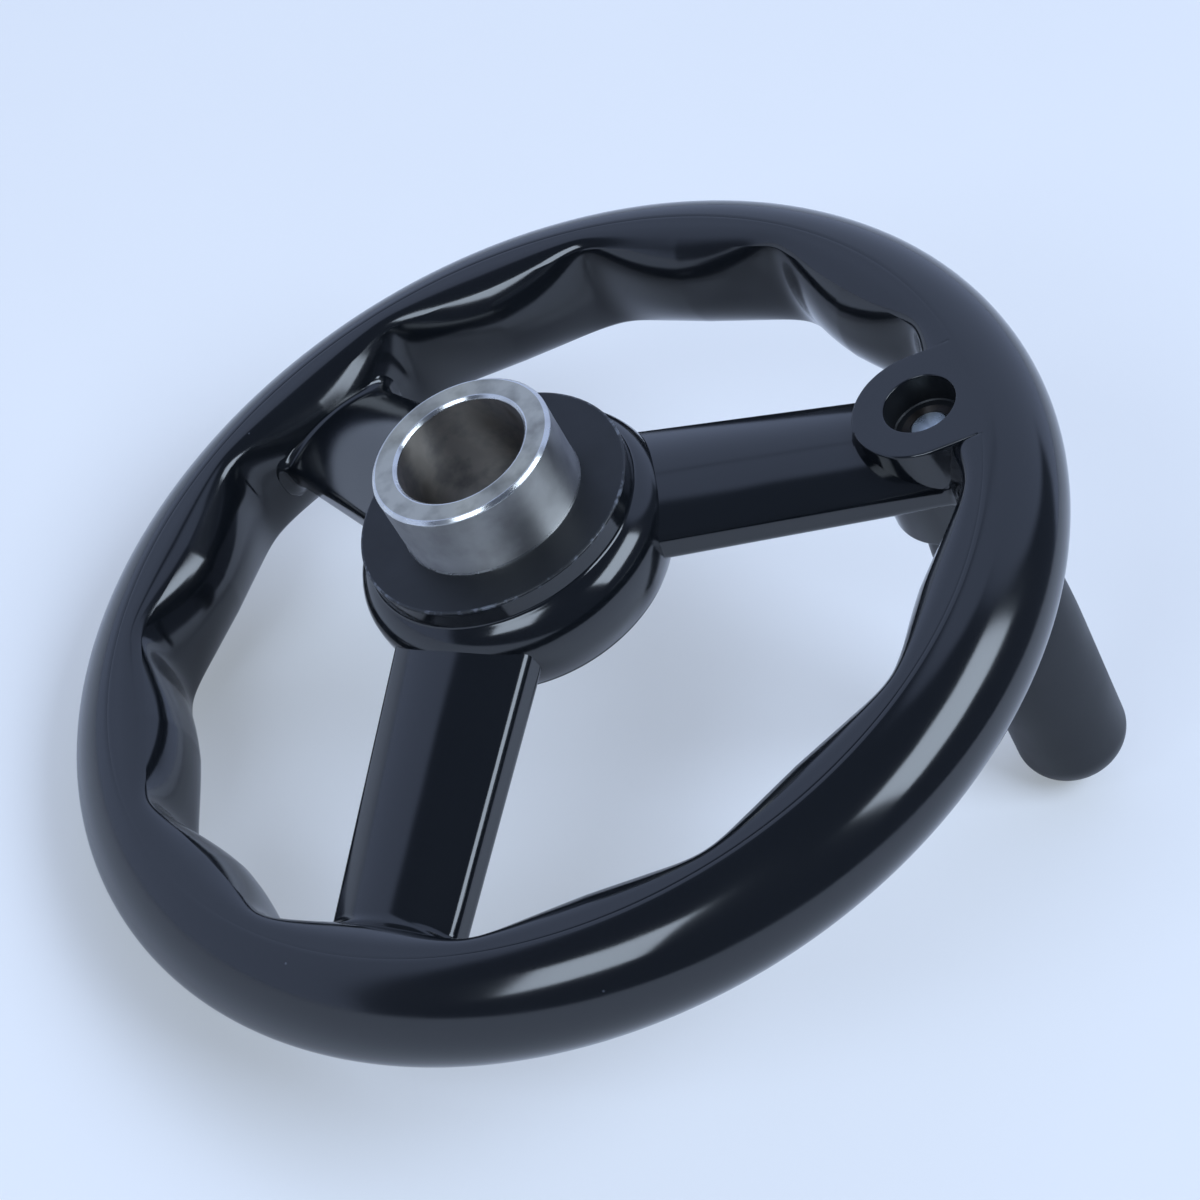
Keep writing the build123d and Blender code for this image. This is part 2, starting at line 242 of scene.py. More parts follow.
# Surfaces
def surface(name, grid, materials, bands=None, close_rows=True):
    """Object from a grid of points, rows along a section and columns around it.

    Columns always close on themselves. Rows close too, or else their two ends shrink to
    poles. Each row of faces takes its material from bands. Faces are turned outwards by
    the sign of the enclosed volume.
    """
    rows, columns, _ = grid.shape
    last = rows if close_rows else rows - 1
    row, column = np.meshgrid(np.arange(last), np.arange(columns), indexing="ij")
    next_row = (row + 1) % rows
    next_column = (column + 1) % columns
    quads = np.stack(
        [
            row * columns + column,
            row * columns + next_column,
            next_row * columns + next_column,
            next_row * columns + column,
        ],
        axis=-1,
    ).reshape(-1, 4)
    points = grid.reshape(-1, 3)
    centre = points.mean(axis=0)
    a, b, c, d = (points[quads[:, i]] - centre for i in range(4))
    volume = np.einsum("ij,ij->i", np.cross(a, b), c) + np.einsum("ij,ij->i", np.cross(a, c), d)
    if volume.sum() < 0:
        quads = quads[:, ::-1]
    mesh = bpy.data.meshes.new(name)
    mesh.vertices.add(len(points))
    mesh.vertices.foreach_set("co", points.astype(np.float32).ravel())
    mesh.loops.add(quads.size)
    mesh.loops.foreach_set("vertex_index", quads.astype(np.int32).ravel())
    mesh.polygons.add(len(quads))
    mesh.polygons.foreach_set("loop_start", np.arange(0, quads.size, 4, dtype=np.int32))
    for material in materials:
        mesh.materials.append(material)
    if bands is not None:
        index = np.repeat(np.asarray(bands, dtype=np.int32)[:last], columns)
        mesh.polygons.foreach_set("material_index", index)
    mesh.update(calc_edges=True)
    mesh.validate()
    edit = bmesh.new()
    edit.from_mesh(mesh)
    bmesh.ops.remove_doubles(edit, verts=edit.verts, dist=WELD_DISTANCE)
    for face in edit.faces:
        face.smooth = True
    edit.to_mesh(mesh)
    edit.free()
    mesh.set_sharp_from_angle(angle=SHARP_ANGLE)
    piece = bpy.data.objects.new(name, mesh)
    bpy.context.scene.collection.objects.link(piece)
    return piece


def revolved(profile, centre=(0.0, 0.0), columns=ROUND_COLUMNS):
    """Grid of a profile of (radius, height) rows turned about a line parallel to Z."""
    around = np.arange(columns) * 2 * pi / columns
    radius, height = profile[:, :1], profile[:, 1:]
    return np.stack(
        [
            centre[0] + radius * np.cos(around),
            centre[1] + radius * np.sin(around),
            height + 0 * around,
        ],
        axis=-1,
    )


def softened(corners, rounds, steps=5, guard=0.12 * MM):
    """Closed outline with tangent arcs at its corners, and the corner of each row.

    An arc of radius r touches both sides at r over the tangent of half the corner's
    angle. A guard point beside each end keeps the flat next to it shading flat.
    """
    corners = np.asarray(corners, dtype=float)
    rows, owners = [], []
    for number, corner in enumerate(corners):
        before = corners[number - 1] - corner
        after = corners[(number + 1) % len(corners)] - corner
        before /= np.linalg.norm(before)
        after /= np.linalg.norm(after)
        half = np.arccos(np.clip(before @ after, -1, 1)) / 2
        if rounds[number] <= 0 or half > NEARLY_STRAIGHT:
            rows.append(corner[None])
            owners.append(number)
            continue
        reach = rounds[number] / tan(half)
        middle = (before + after) / np.linalg.norm(before + after)
        centre = corner + middle * rounds[number] / sin(half)
        first = corner + before * reach - centre
        last = corner + after * reach - centre
        sweep = pi - 2 * half
        share = np.linspace(0, 1, steps + 1)[:, None]
        arc = (np.sin((1 - share) * sweep) * first + np.sin(share * sweep) * last) / sin(sweep)
        rows.append((corner + before * (reach + guard))[None])
        rows.append(centre + arc)
        rows.append((corner + after * (reach + guard))[None])
        owners += [number] * (len(arc) + 2)
    return np.concatenate(rows), np.array(owners)


def ellipse_arc(centre, reach, start, end, steps):
    """Points on an ellipse arc between two angles in degrees."""
    turn = np.radians(np.linspace(start, end, steps))
    return np.stack(
        [centre[0] + reach[0] * np.cos(turn), centre[1] + reach[1] * np.sin(turn)], axis=-1
    )


def arc_through(start, end, tangent, steps):
    """Points on the circle arc that leaves start along a unit tangent and meets end."""
    start, end, tangent = (np.asarray(v, dtype=float) for v in (start, end, tangent))
    normal = np.array([-tangent[1], tangent[0]])
    chord = end - start
    radius = chord @ chord / (2 * (chord @ normal))
    centre = start + normal * radius
    first, last = start - centre, end - centre
    turn = np.arctan2(first[0] * last[1] - first[1] * last[0], first @ last)
    angle = np.linspace(0, turn, steps)
    rotated = np.stack(
        [
            first[0] * np.cos(angle) - first[1] * np.sin(angle),
            first[0] * np.sin(angle) + first[1] * np.cos(angle),
        ],
        axis=-1,
    )
    return centre + rotated


# Shader nodes
# Noise keeps mostly within its span. A wave's phase grows by its rate per unit at scale 1.
NOISE_SPAN = {"From Min": 0.3, "From Max": 0.7}
WAVE_RATE = 20
DUST_CHANCE = 0.86
DUST_SIZE = 0.035


def feed(target, inputs):
    """Sets or links a node's inputs, which are found by name or number.

    An input takes a plain value, another node's output, or a node, which stands for its
    first output.
    """
    for key, value in inputs.items():
        if isinstance(value, bpy.types.Node):
            value = value.outputs[0]
        if isinstance(value, bpy.types.NodeSocket):
            target.id_data.links.new(value, target.inputs[key])
        else:
            target.inputs[key].default_value = value


def node(tree, kind, inputs=None, **properties):
    """Adds a shader node, sets its properties, then sets or links its inputs."""
    added = tree.nodes.new("ShaderNode" + kind)
    for name, value in properties.items():
        setattr(added, name, value)
    feed(added, inputs or {})
    return added


def blank_material(name):
    """Material with its node tree and its one Principled shader."""
    material = bpy.data.materials.new(name)
    material.use_nodes = True
    tree = material.node_tree
    return material, tree, tree.nodes["Principled BSDF"]


def rgba(values):
    """Colour with full alpha."""
    return (*values, 1.0)


def per_metre(millimetres):
    """Texture scale for features of about that size."""
    return 1 / (millimetres * MM)


# Finishes
def polished_phenolic(finish):
    """Compression-moulded phenolic, buffed: black, glassy, with faint waves and dust.

    The buffing leaves long soft swells that bend reflections a little, a fine haze that
    varies over a few centimetres, and a few dust specks.
    """
    material, tree, shader = blank_material("Polished black phenolic")
    place = node(tree, "TexCoord").outputs["Object"]
    haze = node(tree, "TexNoise", {"Vector": place, "Scale": per_metre(26), "Detail": 5})
    cells = node(tree, "TexVoronoi", {"Vector": place, "Scale": per_metre(9), "Randomness": 1})
    chance = node(tree, "SeparateColor", {"Color": cells.outputs["Color"]})
    wanted = node(tree, "Math", {0: chance, 1: DUST_CHANCE}, operation="GREATER_THAN")
    near = node(
        tree,
        "MapRange",
        {"Value": cells, "From Min": 0, "From Max": DUST_SIZE, "To Min": 0.5, "To Max": 0},
        interpolation_type="SMOOTHSTEP",
    )
    speck = node(tree, "Math", {0: wanted, 1: near}, operation="MULTIPLY")
    shades = {"Factor": speck, 6: rgba(finish.phenolic), 7: rgba(finish.worn_edge)}
    shade = node(tree, "Mix", shades, data_type="RGBA")
    swell = node(tree, "TexNoise", {"Vector": place, "Scale": per_metre(14), "Detail": 1})
    grain = node(tree, "TexNoise", {"Vector": place, "Scale": per_metre(0.9), "Detail": 3})
    fine = node(tree, "Bump", {"Height": grain, "Strength": 0.05, "Distance": 0.02 * MM})
    waves = {"Height": swell, "Normal": fine, "Strength": 0.25, "Distance": 0.25 * MM}
    polish = {"Value": haze, **NOISE_SPAN, "To Min": 0.10, "To Max": 0.17}
    inputs = {
        "IOR": 1.6,
        "Base Color": shade.outputs[2],
        "Roughness": node(tree, "MapRange", polish),
        "Normal": node(tree, "Bump", waves),
    }
    feed(shader, inputs)
    return material


def turned_phenolic(finish):
    """Phenolic faced on a lathe: the same black without the gloss, in fine rings."""
    material, tree, shader = blank_material("Faced black phenolic")
    place = node(tree, "TexCoord").outputs["Object"]
    marks = {"Vector": place, "Scale": per_metre(0.35) / WAVE_RATE, "Distortion": 0.6, "Detail": 2}
    rings = node(tree, "TexWave", marks, wave_type="RINGS", rings_direction="Z").outputs["Fac"]
    haze = node(tree, "TexNoise", {"Vector": place, "Scale": per_metre(6), "Detail": 6})
    matt = {"Value": haze, **NOISE_SPAN, "To Min": 0.42, "To Max": 0.54}
    inputs = {
        "IOR": 1.5,
        "Base Color": rgba(finish.phenolic),
        "Roughness": node(tree, "MapRange", matt),
        "Normal": node(tree, "Bump", {"Height": rings, "Strength": 0.12, "Distance": 0.02 * MM}),
    }
    feed(shader, inputs)
    return material


def worn_phenolic(finish):
    """Edge that knocks have scuffed: black broken by a pale, chipped line."""
    material, tree, shader = blank_material("Scuffed phenolic edge")
    place = node(tree, "TexCoord").outputs["Object"]
    patches = node(tree, "TexNoise", {"Vector": place, "Scale": per_metre(9), "Detail": 2})
    chips = node(tree, "TexNoise", {"Vector": place, "Scale": per_metre(1.1), "Detail": 4})
    both = node(tree, "Math", {0: patches, 1: chips}, operation="MULTIPLY")
    scuffs = {"Value": both, "From Min": 0.27, "From Max": 0.36, "To Min": 0, "To Max": 0.5}
    mask = node(tree, "MapRange", scuffs)
    shades = {"Factor": mask, 6: rgba(finish.phenolic), 7: rgba(finish.worn_edge)}
    inputs = {
        "IOR": 1.6,
        "Roughness": 0.4,
        "Base Color": node(tree, "Mix", shades, data_type="RGBA").outputs[2],
        "Normal": node(tree, "Bump", {"Height": chips, "Strength": 0.6, "Distance": 0.1 * MM}),
    }
    feed(shader, inputs)
    return material


def turned_steel(finish, name, bright, roughness, stain_share):
    """Lathe-turned steel: fine rings and bands, with stains and handling wear.

    The marks run around the axis, so they spread each highlight across themselves.
    """
    material, tree, shader = blank_material(name)
    place = node(tree, "TexCoord").outputs["Object"]
    marks = {"Vector": place, "Scale": per_metre(0.5) / WAVE_RATE, "Detail": 3}
    on_faces = {**marks, "Distortion": 1.5}
    on_sides = {**marks, "Distortion": 0.8}
    rings = node(tree, "TexWave", on_faces, wave_type="RINGS", rings_direction="Z").outputs["Fac"]
    bands = node(tree, "TexWave", on_sides, wave_type="BANDS", bands_direction="Z").outputs["Fac"]
    both = node(tree, "Math", {0: rings, 1: bands}, operation="ADD")
    stain = node(tree, "TexNoise", {"Vector": place, "Scale": per_metre(5), "Detail": 8})
    stained = {"Value": stain, "From Min": 0.45, "From Max": 0.68, "To Min": 0, "To Max": stain_share}
    mask = node(tree, "MapRange", stained)
    shades = {"Factor": mask, 6: rgba(bright), 7: rgba(finish.steel_stain)}
    worn = {"Value": stain, **NOISE_SPAN, "To Min": roughness[0], "To Max": roughness[1]}
    inputs = {
        "Metallic": 1,
        "Anisotropic": 0.85,
        "Anisotropic Rotation": 0.25,
        "Tangent": node(tree, "Tangent", direction_type="RADIAL", axis="Z"),
        "Base Color": node(tree, "Mix", shades, data_type="RGBA").outputs[2],
        "Roughness": node(tree, "MapRange", worn),
        "Normal": node(tree, "Bump", {"Height": both, "Strength": 0.4, "Distance": 0.02 * MM}),
    }
    feed(shader, inputs)
    return material


def satin_plastic(finish):
    """Moulded grip with a fine satin texture: a soft, even sheen."""
    material, tree, shader = blank_material("Satin black plastic")
    place = node(tree, "TexCoord").outputs["Object"]
    grain = node(tree, "TexNoise", {"Vector": place, "Scale": per_metre(0.6), "Detail": 2})
    haze = node(tree, "TexNoise", {"Vector": place, "Scale": per_metre(15), "Detail": 4})
    satin = {"Value": haze, **NOISE_SPAN, "To Min": 0.38, "To Max": 0.48}
    inputs = {
        "IOR": 1.5,
        "Base Color": rgba(finish.grip),
        "Roughness": node(tree, "MapRange", satin),
        "Normal": node(tree, "Bump", {"Height": grain, "Strength": 0.15, "Distance": 0.03 * MM}),
    }
    feed(shader, inputs)
    return material


def made_once(name, maker, *values):
    """The named material, made the first time that it is asked for."""
    found = bpy.data.materials.get(name)
    return found if found else maker(*values)


def gloss(scene):
    """Polished phenolic, shared by rim, spokes, hub and boss."""
    return made_once("Polished black phenolic", polished_phenolic, scene.wheel_finish)


def attach(piece, body, slot, *nodes):
    """Rides a finished piece on its body and hides what it replaces. The slot is not used."""
    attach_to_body(piece, body)
    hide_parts(*nodes)


# Rim
RIM_COLUMNS = 720
OUTSIDE_STEPS = 56
LAND_STEPS = 6
BEND_STEPS = 8
WALL_STEPS = 37
EDGE_PASSES = 8
BEND_DROP = 0.75
BOSS_COVER = 0.965
BOSS_SETBACK = 2.2 * MM
BOSS_SHRINK = 0.96
CREASE_MARGIN = 0.1


def crease_height(rim):
    """Height of the crease, where it lies on the ellipse of the rim's outside."""
    share = (rim.crown_inset - rim.crease_inset) / rim.crown_inset
    return rim.depth / 2 * sqrt(1 - share**2)


def grip_reach(angle, rim):
    """Reach of the inner wall at each angle.

    With u the share of the way from a notch to a grip's middle, softened near the
    notch, the reach is the pad's times 1 - w plus the notch's times w, where w is
    1 - u to the power of the roundness.
    """
    share = (angle / (2 * pi) * rim.grips) % 1.0
    to_notch = np.abs(2 * share - 1)
    softened_share = np.sqrt(to_notch**2 + rim.softness**2) - rim.softness
    notch = np.clip(1 - softened_share, 0, None) ** rim.roundness
    return rim.pad_reach * (1 - notch) + rim.notch_reach * notch


def wall_radius(rim, reach, height):
    """Radius of the inner wall: the land's edge less the reach times the fullness.

    With z the height's share of the rim's half depth, the fullness is 1 - z squared,
    to the wall power: full at the middle plane and none at the rim's half depth.
    """
    share = np.clip(height / (rim.depth / 2), -1, 1)
    inner = rim.radius - rim.land_inset
    return inner - reach * (1 - share**2) ** rim.wall_power


def bend(start, corner, end, share):
    """Quadratic curve that leaves start towards the corner and meets end from it."""
    return (1 - share) ** 2 * start + 2 * share * (1 - share) * corner + share**2 * end


def rim_grid(rim, boss_radius, columns=RIM_COLUMNS):
    """Rim surface: angle around by distance along the section.

    The outside is the ellipse about the crown circle, from crease to crease, where a
    fine line is left by the mould. Each land is a cone from the crease to the inner
    wall, and a quadratic curve rounds the edge between them. Inside the boss the wall
    stands back to the land's first ring, so that the counterbore stays open.
    """
    half = rim.depth / 2
    crown = rim.radius - rim.crown_inset
    crease = rim.radius - rim.crease_inset
    crease_turn = np.degrees(np.arccos((crease - crown) / rim.crown_inset))
    outside = ellipse_arc((crown, 0), (rim.crown_inset, half), -crease_turn, crease_turn, OUTSIDE_STEPS)
    land_top = crease_height(rim)
    angle = np.arange(columns) * 2 * pi / columns
    beside = np.abs(np.arctan2(np.sin(angle), np.cos(angle)))
    in_boss = (beside < BOSS_COVER * boss_radius / crease)[None, :]
    reach = grip_reach(angle, rim)
    slope = tan(rim.land_slope)
    edge_height = land_top - (rim.land_inset - rim.crease_inset) * slope
    for _ in range(EDGE_PASSES):
        edge_radius = wall_radius(rim, reach, edge_height)
        edge_height = land_top - (crease - edge_radius) * slope
    land_end = edge_radius + rim.edge_round
    land_share = np.linspace(0, 1, LAND_STEPS)[1:, None]
    line_end = crease - rim.line_width + 0 * land_end
    land_radius = line_end + (land_end - line_end) * land_share
    land_radius = np.concatenate([[line_end + rim.line_width / 2, line_end], land_radius])
    land_height = land_top - (crease - land_radius) * slope
    land_height[0] -= rim.line_depth
    wall_top = edge_height - rim.edge_round * BEND_DROP
    share = np.linspace(0, 1, BEND_STEPS)[1:-1, None]
    bend_radius = bend(land_end, edge_radius, wall_radius(rim, reach, wall_top), share)
    bend_height = bend(land_height[-1], edge_height, wall_top, share)
    wall_height = np.sin(np.linspace(pi / 2, -pi / 2, WALL_STEPS))[:, None] * wall_top
    wall = wall_radius(rim, reach, wall_height)
    upper = [(land_radius, land_height), (bend_radius, bend_height)]
    lower = [(part[::-1], -level[::-1]) for part, level in reversed(upper)]
    outer = [np.repeat(side[:, None], columns, axis=1) for side in outside.T]
    parts = [outer, *upper, (wall, wall_height), *lower]
    radius, height = (np.concatenate([part[axis] for part in parts]) for axis in (0, 1))
    hidden = in_boss & (radius < crease - CREASE_MARGIN * rim.line_width)
    radius = np.where(hidden, crease - BOSS_SETBACK, radius)
    height = np.where(hidden, BOSS_SHRINK * height, height)
    return np.stack([radius * np.cos(angle), radius * np.sin(angle), height], axis=-1)


def lowered(grid, scene):
    """Moves what is drawn about the rim's middle plane down to the CAD frame."""
    return grid - np.array([0, 0, scene.wheel_hub.seat_height])


class HANDWHEEL_OT_rim(bpy.types.Operator):
    """Makes the rim with its wavy finger grips"""

    bl_idname = "handwheel.rim"
    bl_label = "Rim"

    def execute(self, context):
        """Puts the rim's surface in place of the moulding's solid."""
        scene = context.scene
        grid = rim_grid(scene.wheel_rim, scene.wheel_boss.radius)
        piece = surface("rim", lowered(grid, scene), [gloss(scene)])
        attach(piece, "wheel", "phenolic", "wheel_body")
        return {"FINISHED"}


# Hub
FILLET_STEPS = 9
DOME_RINGS = 26
BELLY_STEPS = 20
LIP_ROUND = 0.15 * MM
FRONT_ROUND = 0.3 * MM


class HANDWHEEL_OT_hub(bpy.types.Operator):
    """Makes the hub with its flange, shoulder, belly and lip"""

    bl_idname = "handwheel.hub"
    bl_label = "Hub"

    def execute(self, context):
        """Revolves the hub's profile, with the flange's face and edge as own bands."""
        scene = context.scene
        hub = scene.wheel_hub
        inside = scene.wheel_bush.radius
        dome_centre = (hub.radius - hub.dome_radius, hub.widest_height)
        aside = hub.flange_radius + hub.shoulder_fillet - dome_centre[0]
        above = sqrt((hub.dome_radius + hub.shoulder_fillet) ** 2 - aside**2)
        dome_turn = degrees(atan2(above, aside))
        fillet_height = dome_centre[1] + above
        belly_foot = (hub.lip_radius + hub.lip_step, hub.front_height + hub.lip_height)
        flange, owners = softened(
            [
                (inside, hub.flange_height),
                (hub.flange_radius, hub.flange_height),
                (hub.flange_radius, fillet_height),
                (inside, fillet_height),
            ],
            [0, hub.edge_round, 0, 0],
        )
        flange, owners = flange[:-2], owners[:-2]
        fillet = ellipse_arc(
            (dome_centre[0] + aside, fillet_height),
            (hub.shoulder_fillet, hub.shoulder_fillet),
            180,
            180 + dome_turn,
            FILLET_STEPS,
        )
        dome = ellipse_arc(dome_centre, (hub.dome_radius, hub.dome_radius), dome_turn, 0, DOME_RINGS)
        belly = arc_through((hub.radius, hub.widest_height), belly_foot, (0, -1), BELLY_STEPS)
        lip, _ = softened(
            [
                belly_foot,
                (hub.lip_radius, belly_foot[1]),
                (hub.lip_radius, hub.front_height),
                (inside, hub.front_height),
            ],
            [0, LIP_ROUND, FRONT_ROUND, 0],
        )
        profile = np.concatenate([flange, fillet, dome[1:], belly[1:], lip[1:]])
        bands = np.zeros(len(profile), dtype=int)
        edge_rows = np.flatnonzero(owners == 1)
        bands[: edge_rows[0]] = 1
        bands[edge_rows[:-1]] = 2
        finish = scene.wheel_finish
        piece = surface(
            "hub",
            lowered(revolved(profile), scene),
            [
                gloss(scene),
                made_once("Faced black phenolic", turned_phenolic, finish),
                made_once("Scuffed phenolic edge", worn_phenolic, finish),
            ],
            bands,
        )
        attach(piece, "wheel", "phenolic", "wheel_body")
        return {"FINISHED"}


# Spokes
TOP_STEPS = 41
UPPER_STEPS = 11
LOWER_STEPS = 9
UNDER_STEPS = 13
SHANK_STEPS = 36
FOOT_STEPS = 72
SIDE_SHARES = np.array([0.03, 0.5, 0.97])
UNDER_SPAN = 0.98
FOOT_NEAR = 0.08
FOOT_LIMIT = 1.1
BOSS_SKIN = 1.5 * MM
FLOOR_COVER = 0.5 * MM


def spoke_outline(half, top, bottom, spokes):
    """Closed outline of a spoke's section for each station, as (across, height).

    The upper face is a low parabola. Each long edge is a circle arc that leaves it
    along its slope and ends upright or level.
    """
    radius = spokes.edge_radius
    lean = np.arctan(2 * spokes.crown / half)
    across_centre = half - radius
    meet = across_centre + radius * np.sin(lean)
    across_share = np.linspace(-1, 1, TOP_STEPS)[None, :]
    top_across = meet * across_share
    top_height = top + spokes.crown * (1 - (top_across / half) ** 2)
    meet_height = top + spokes.crown * (1 - (meet / half) ** 2)
    upper_centre = meet_height - radius * np.cos(lean)
    share = np.linspace(0, 1, UPPER_STEPS)[None, 1:]
    turn = (pi / 2 - lean) * (1 - share)
    upper_across = across_centre + radius * np.cos(turn)
    upper_height = upper_centre + radius * np.sin(turn)
    side_share = SIDE_SHARES[None, :]
    lower_centre = bottom + radius
    side_height = upper_centre + (lower_centre - upper_centre) * side_share
    side_across = half + 0 * side_share
    turn = np.linspace(0, -pi / 2, LOWER_STEPS)[None, :]
    lower_across = across_centre + radius * np.cos(turn)
    lower_height = lower_centre + radius * np.sin(turn)
    under_across = across_centre * np.linspace(UNDER_SPAN, -UNDER_SPAN, UNDER_STEPS)[None, :]
    under_height = bottom + 0 * under_across
    edge_across = np.concatenate([upper_across, side_across, lower_across], axis=1)
    edge_height = np.concatenate([upper_height, side_height, lower_height], axis=1)
    across = [top_across, edge_across, under_across, -edge_across[:, ::-1]]
    height = [top_height, edge_height, under_height, edge_height[:, ::-1]]
    return np.concatenate(across, axis=1), np.concatenate(height, axis=1)


def foot_growth(gap):
    """Share of the foot's fillet that a section swells by at a gap from the wall.

    A quarter circle, 1 minus the root of 1 - (1 - gap) squared. Close to the wall,
    where that gets steep, its slope goes on in a straight line, into the wall.
    """
    clipped = np.clip(gap, FOOT_NEAR, 1)
    circle = 1 - np.sqrt(1 - (1 - clipped) ** 2)
    slope = (1 - FOOT_NEAR) / sqrt(1 - (1 - FOOT_NEAR) ** 2)
    return np.minimum(circle + slope * np.clip(FOOT_NEAR - gap, 0, None), FOOT_LIMIT)


def spoke_grid(scene, turn):
    """Spoke surface: station along the spoke by place around its section.

    Width, edges and thickness change evenly from the hub to the land's edge. Where a
    point comes closer to the rim's wavy wall than the foot's fillet, it moves out of
    the section along a quarter circle, so that the fillet follows the wall. A second
    pass measures the gap at the raised height, because the wall leans.
    """
    spokes, rim, hub = scene.wheel_spokes, scene.wheel_rim, scene.wheel_hub
    inner = rim.radius - rim.land_inset
    crown = rim.radius - rim.crown_inset
    start = (scene.wheel_bush.radius + hub.flange_radius) / 2
    foot_zone = inner - rim.pad_reach - 2 * spokes.foot_fillet
    shank = np.linspace(start, foot_zone, SHANK_STEPS)[:-1]
    foot = np.linspace(foot_zone, crown, FOOT_STEPS)
    station = np.concatenate([shank, foot])[:, None]
    run = (station - hub.radius) / (inner - hub.radius)
    half = (spokes.width_at_hub + (spokes.width_at_rim - spokes.width_at_hub) * run) / 2
    top = spokes.edge_at_hub + (spokes.edge_at_rim - spokes.edge_at_hub) * run
    thickness = spokes.thickness_at_hub + (spokes.thickness_at_rim - spokes.thickness_at_hub) * run
    across, height = spoke_outline(half, top, top - thickness, spokes)
    step_across = np.roll(across, -1, axis=1) - np.roll(across, 1, axis=1)
    step_height = np.roll(height, -1, axis=1) - np.roll(height, 1, axis=1)
    size = np.hypot(step_across, step_height)
    out_across, out_height = -step_height / size, step_across / size
    reach = grip_reach(np.arctan2(across, station), rim)
    fillet = spokes.foot_fillet
    from_axis = np.hypot(across, station)
    grow = np.zeros_like(across)
    for _ in range(2):
        gap = wall_radius(rim, reach, height + grow * out_height) - from_axis
        grow = fillet * foot_growth(gap / fillet)
    handle = rim.radius - scene.wheel_boss.inset
    from_handle = np.hypot(
        station * cos(turn) - across * sin(turn) - handle, station * sin(turn) + across * cos(turn)
    )
    boss = scene.wheel_boss
    grow *= np.clip((from_handle - boss.radius) / fillet + 1, 0, 1)
    floor = crease_height(rim) - boss.counterbore_depth - FLOOR_COVER
    below = (from_handle < boss.radius - BOSS_SKIN) & (height > floor)
    height = np.where(below, floor, height)
    across = across + grow * out_across
    height = height + grow * out_height
    along = np.repeat(station, across.shape[1], axis=1)
    grid = np.stack([along, across, height], axis=-1)
    first = np.repeat(grid[:1].mean(axis=1, keepdims=True), grid.shape[1], axis=1)
    last = np.repeat(grid[-1:].mean(axis=1, keepdims=True), grid.shape[1], axis=1)
    grid = np.concatenate([first, grid, last])
    x = grid[..., 0] * cos(turn) - grid[..., 1] * sin(turn)
    y = grid[..., 0] * sin(turn) + grid[..., 1] * cos(turn)
    return np.stack([x, y, grid[..., 2]], axis=-1)


class HANDWHEEL_OT_spokes(bpy.types.Operator):
    """Makes the dished spokes with their filleted feet"""

    bl_idname = "handwheel.spokes"
    bl_label = "Spokes"

    def execute(self, context):
        """Makes each spoke as its own piece."""
        scene = context.scene
        for number in range(scene.wheel_spokes.count):
            turn = 2 * pi / scene.wheel_spokes.count * number
            grid = lowered(spoke_grid(scene, turn), scene)
            piece = surface(f"spoke_{number}", grid, [gloss(scene)], close_rows=False)
            attach(piece, "wheel", "phenolic", "wheel_body")
        return {"FINISHED"}


# Handle boss
ARC_COLUMNS = 90
SIDE_COLUMNS = 290
EDGE_STEPS = 7
LEVEL_SINE = 0.01
COUNTERBORE_ROUND = 0.25 * MM
COUNTERBORE_SHARES = (0.02, 0.5, 0.98)
BOSS_SIDE_SHARES = (0.99, 0.5, 0.01)


def boss_plan(boss_radius, axis_radius, crease_radius, fade):
    """Plan outline of the boss about the handle's axis, and how to round its edge.

    A half circle faces the hub. Two straight sides run out along X to the crease
    circle, which closes the outline. The edge's round fades out towards the crease,
    where the boss runs level into the rim.
    """
    corner = sqrt(crease_radius**2 - boss_radius**2) - axis_radius
    corner_turn = atan2(boss_radius, corner)
    angle = np.concatenate(
        [
            np.linspace(-corner_turn, corner_turn, ARC_COLUMNS, endpoint=False),
            np.linspace(corner_turn, 2 * pi - corner_turn, SIDE_COLUMNS, endpoint=False),
        ]
    )
    direction = np.stack([np.cos(angle), np.sin(angle)], axis=-1)
    to_crease = -axis_radius * direction[:, 0] + np.sqrt(
        crease_radius**2 - (axis_radius * direction[:, 1]) ** 2
    )
    to_side = boss_radius / np.maximum(np.abs(direction[:, 1]), LEVEL_SINE)
    reach = np.where(direction[:, 0] > 0, np.minimum(to_side, to_crease), boss_radius)
    plan = reach[:, None] * direction
    tangent = np.roll(plan, -1, axis=0) - np.roll(plan, 1, axis=0)
    normal = np.stack([tangent[:, 1], -tangent[:, 0]], axis=-1)
    normal /= np.linalg.norm(normal, axis=1, keepdims=True)
    on_arc = to_crease <= to_side
    share = np.where(on_arc, 0, np.clip((corner - plan[:, 0]) / fade, 0, 1))
    return plan, normal, share[:, None], direction


